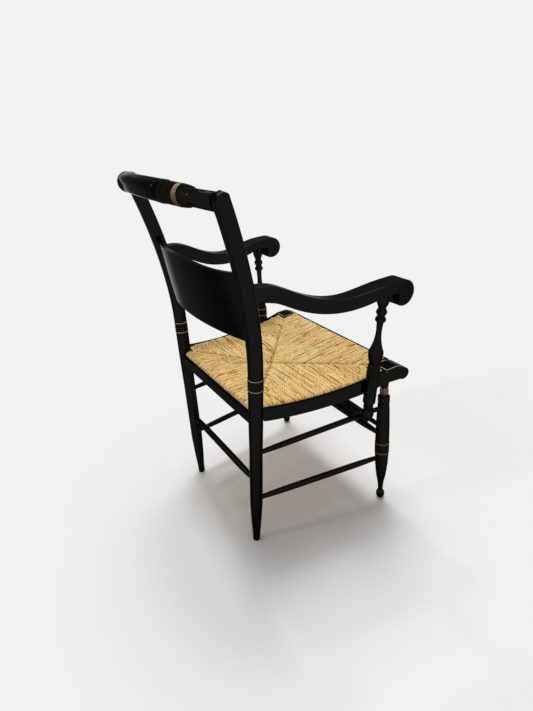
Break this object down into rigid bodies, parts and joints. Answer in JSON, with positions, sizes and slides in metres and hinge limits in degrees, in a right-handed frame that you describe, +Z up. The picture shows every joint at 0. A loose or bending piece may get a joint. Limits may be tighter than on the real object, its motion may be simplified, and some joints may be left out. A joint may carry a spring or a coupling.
{
  "type": "side chair",
  "caption": "Black painted armchair with turned legs, gold ring bands, bowed slat back, round crest rail, scrolled arms and a woven rush seat.",
  "frame": {"origin": "on the floor, under the middle of the chair's overall box", "axes": "+Z up, the seat's front faces -Y, the sitter's right hand is at -X and the left hand at +X"},
  "size_m": [0.5868, 0.5474, 0.8997],
  "materials": {
    "black_paint": "satin black paint with gold painted ring bands",
    "rush": "twisted rush, straw yellow to orange brown",
    "bare_wood": "unpainted hardwood hidden in the seat",
    "steel": "plain steel nails, pins and screws"
  },
  "bodies": {
    "root": {"arm_plugs": "black_paint", "arm_post_plugs": "black_paint", "arm_post_screws": "steel", "arm_screws": "steel", "back_rail": "bare_wood", "back_slat": "black_paint", "back_stretcher": "black_paint", "back_strip": "black_paint", "crest_rail": "black_paint", "front_lower_stretcher": "black_paint", "front_rail": "bare_wood", "front_strip": "black_paint", "front_upper_stretcher": "black_paint", "left_arm": "black_paint", "left_arm_post": "black_paint", "left_back_post": "black_paint", "left_front_leg": "black_paint", "left_lower_stretcher": "black_paint", "left_seat_block": "black_paint", "left_seat_rail": "bare_wood", "left_side_strip": "black_paint", "left_upper_stretcher": "black_paint", "right_arm": "black_paint", "right_arm_post": "black_paint", "right_back_post": "black_paint", "right_front_leg": "black_paint", "right_lower_stretcher": "black_paint", "right_seat_block": "black_paint", "right_seat_rail": "bare_wood", "right_side_strip": "black_paint", "right_upper_stretcher": "black_paint", "rush_seat": "rush", "slat_pins": "steel", "strip_nails": "steel"}
  },
  "joints": []
}
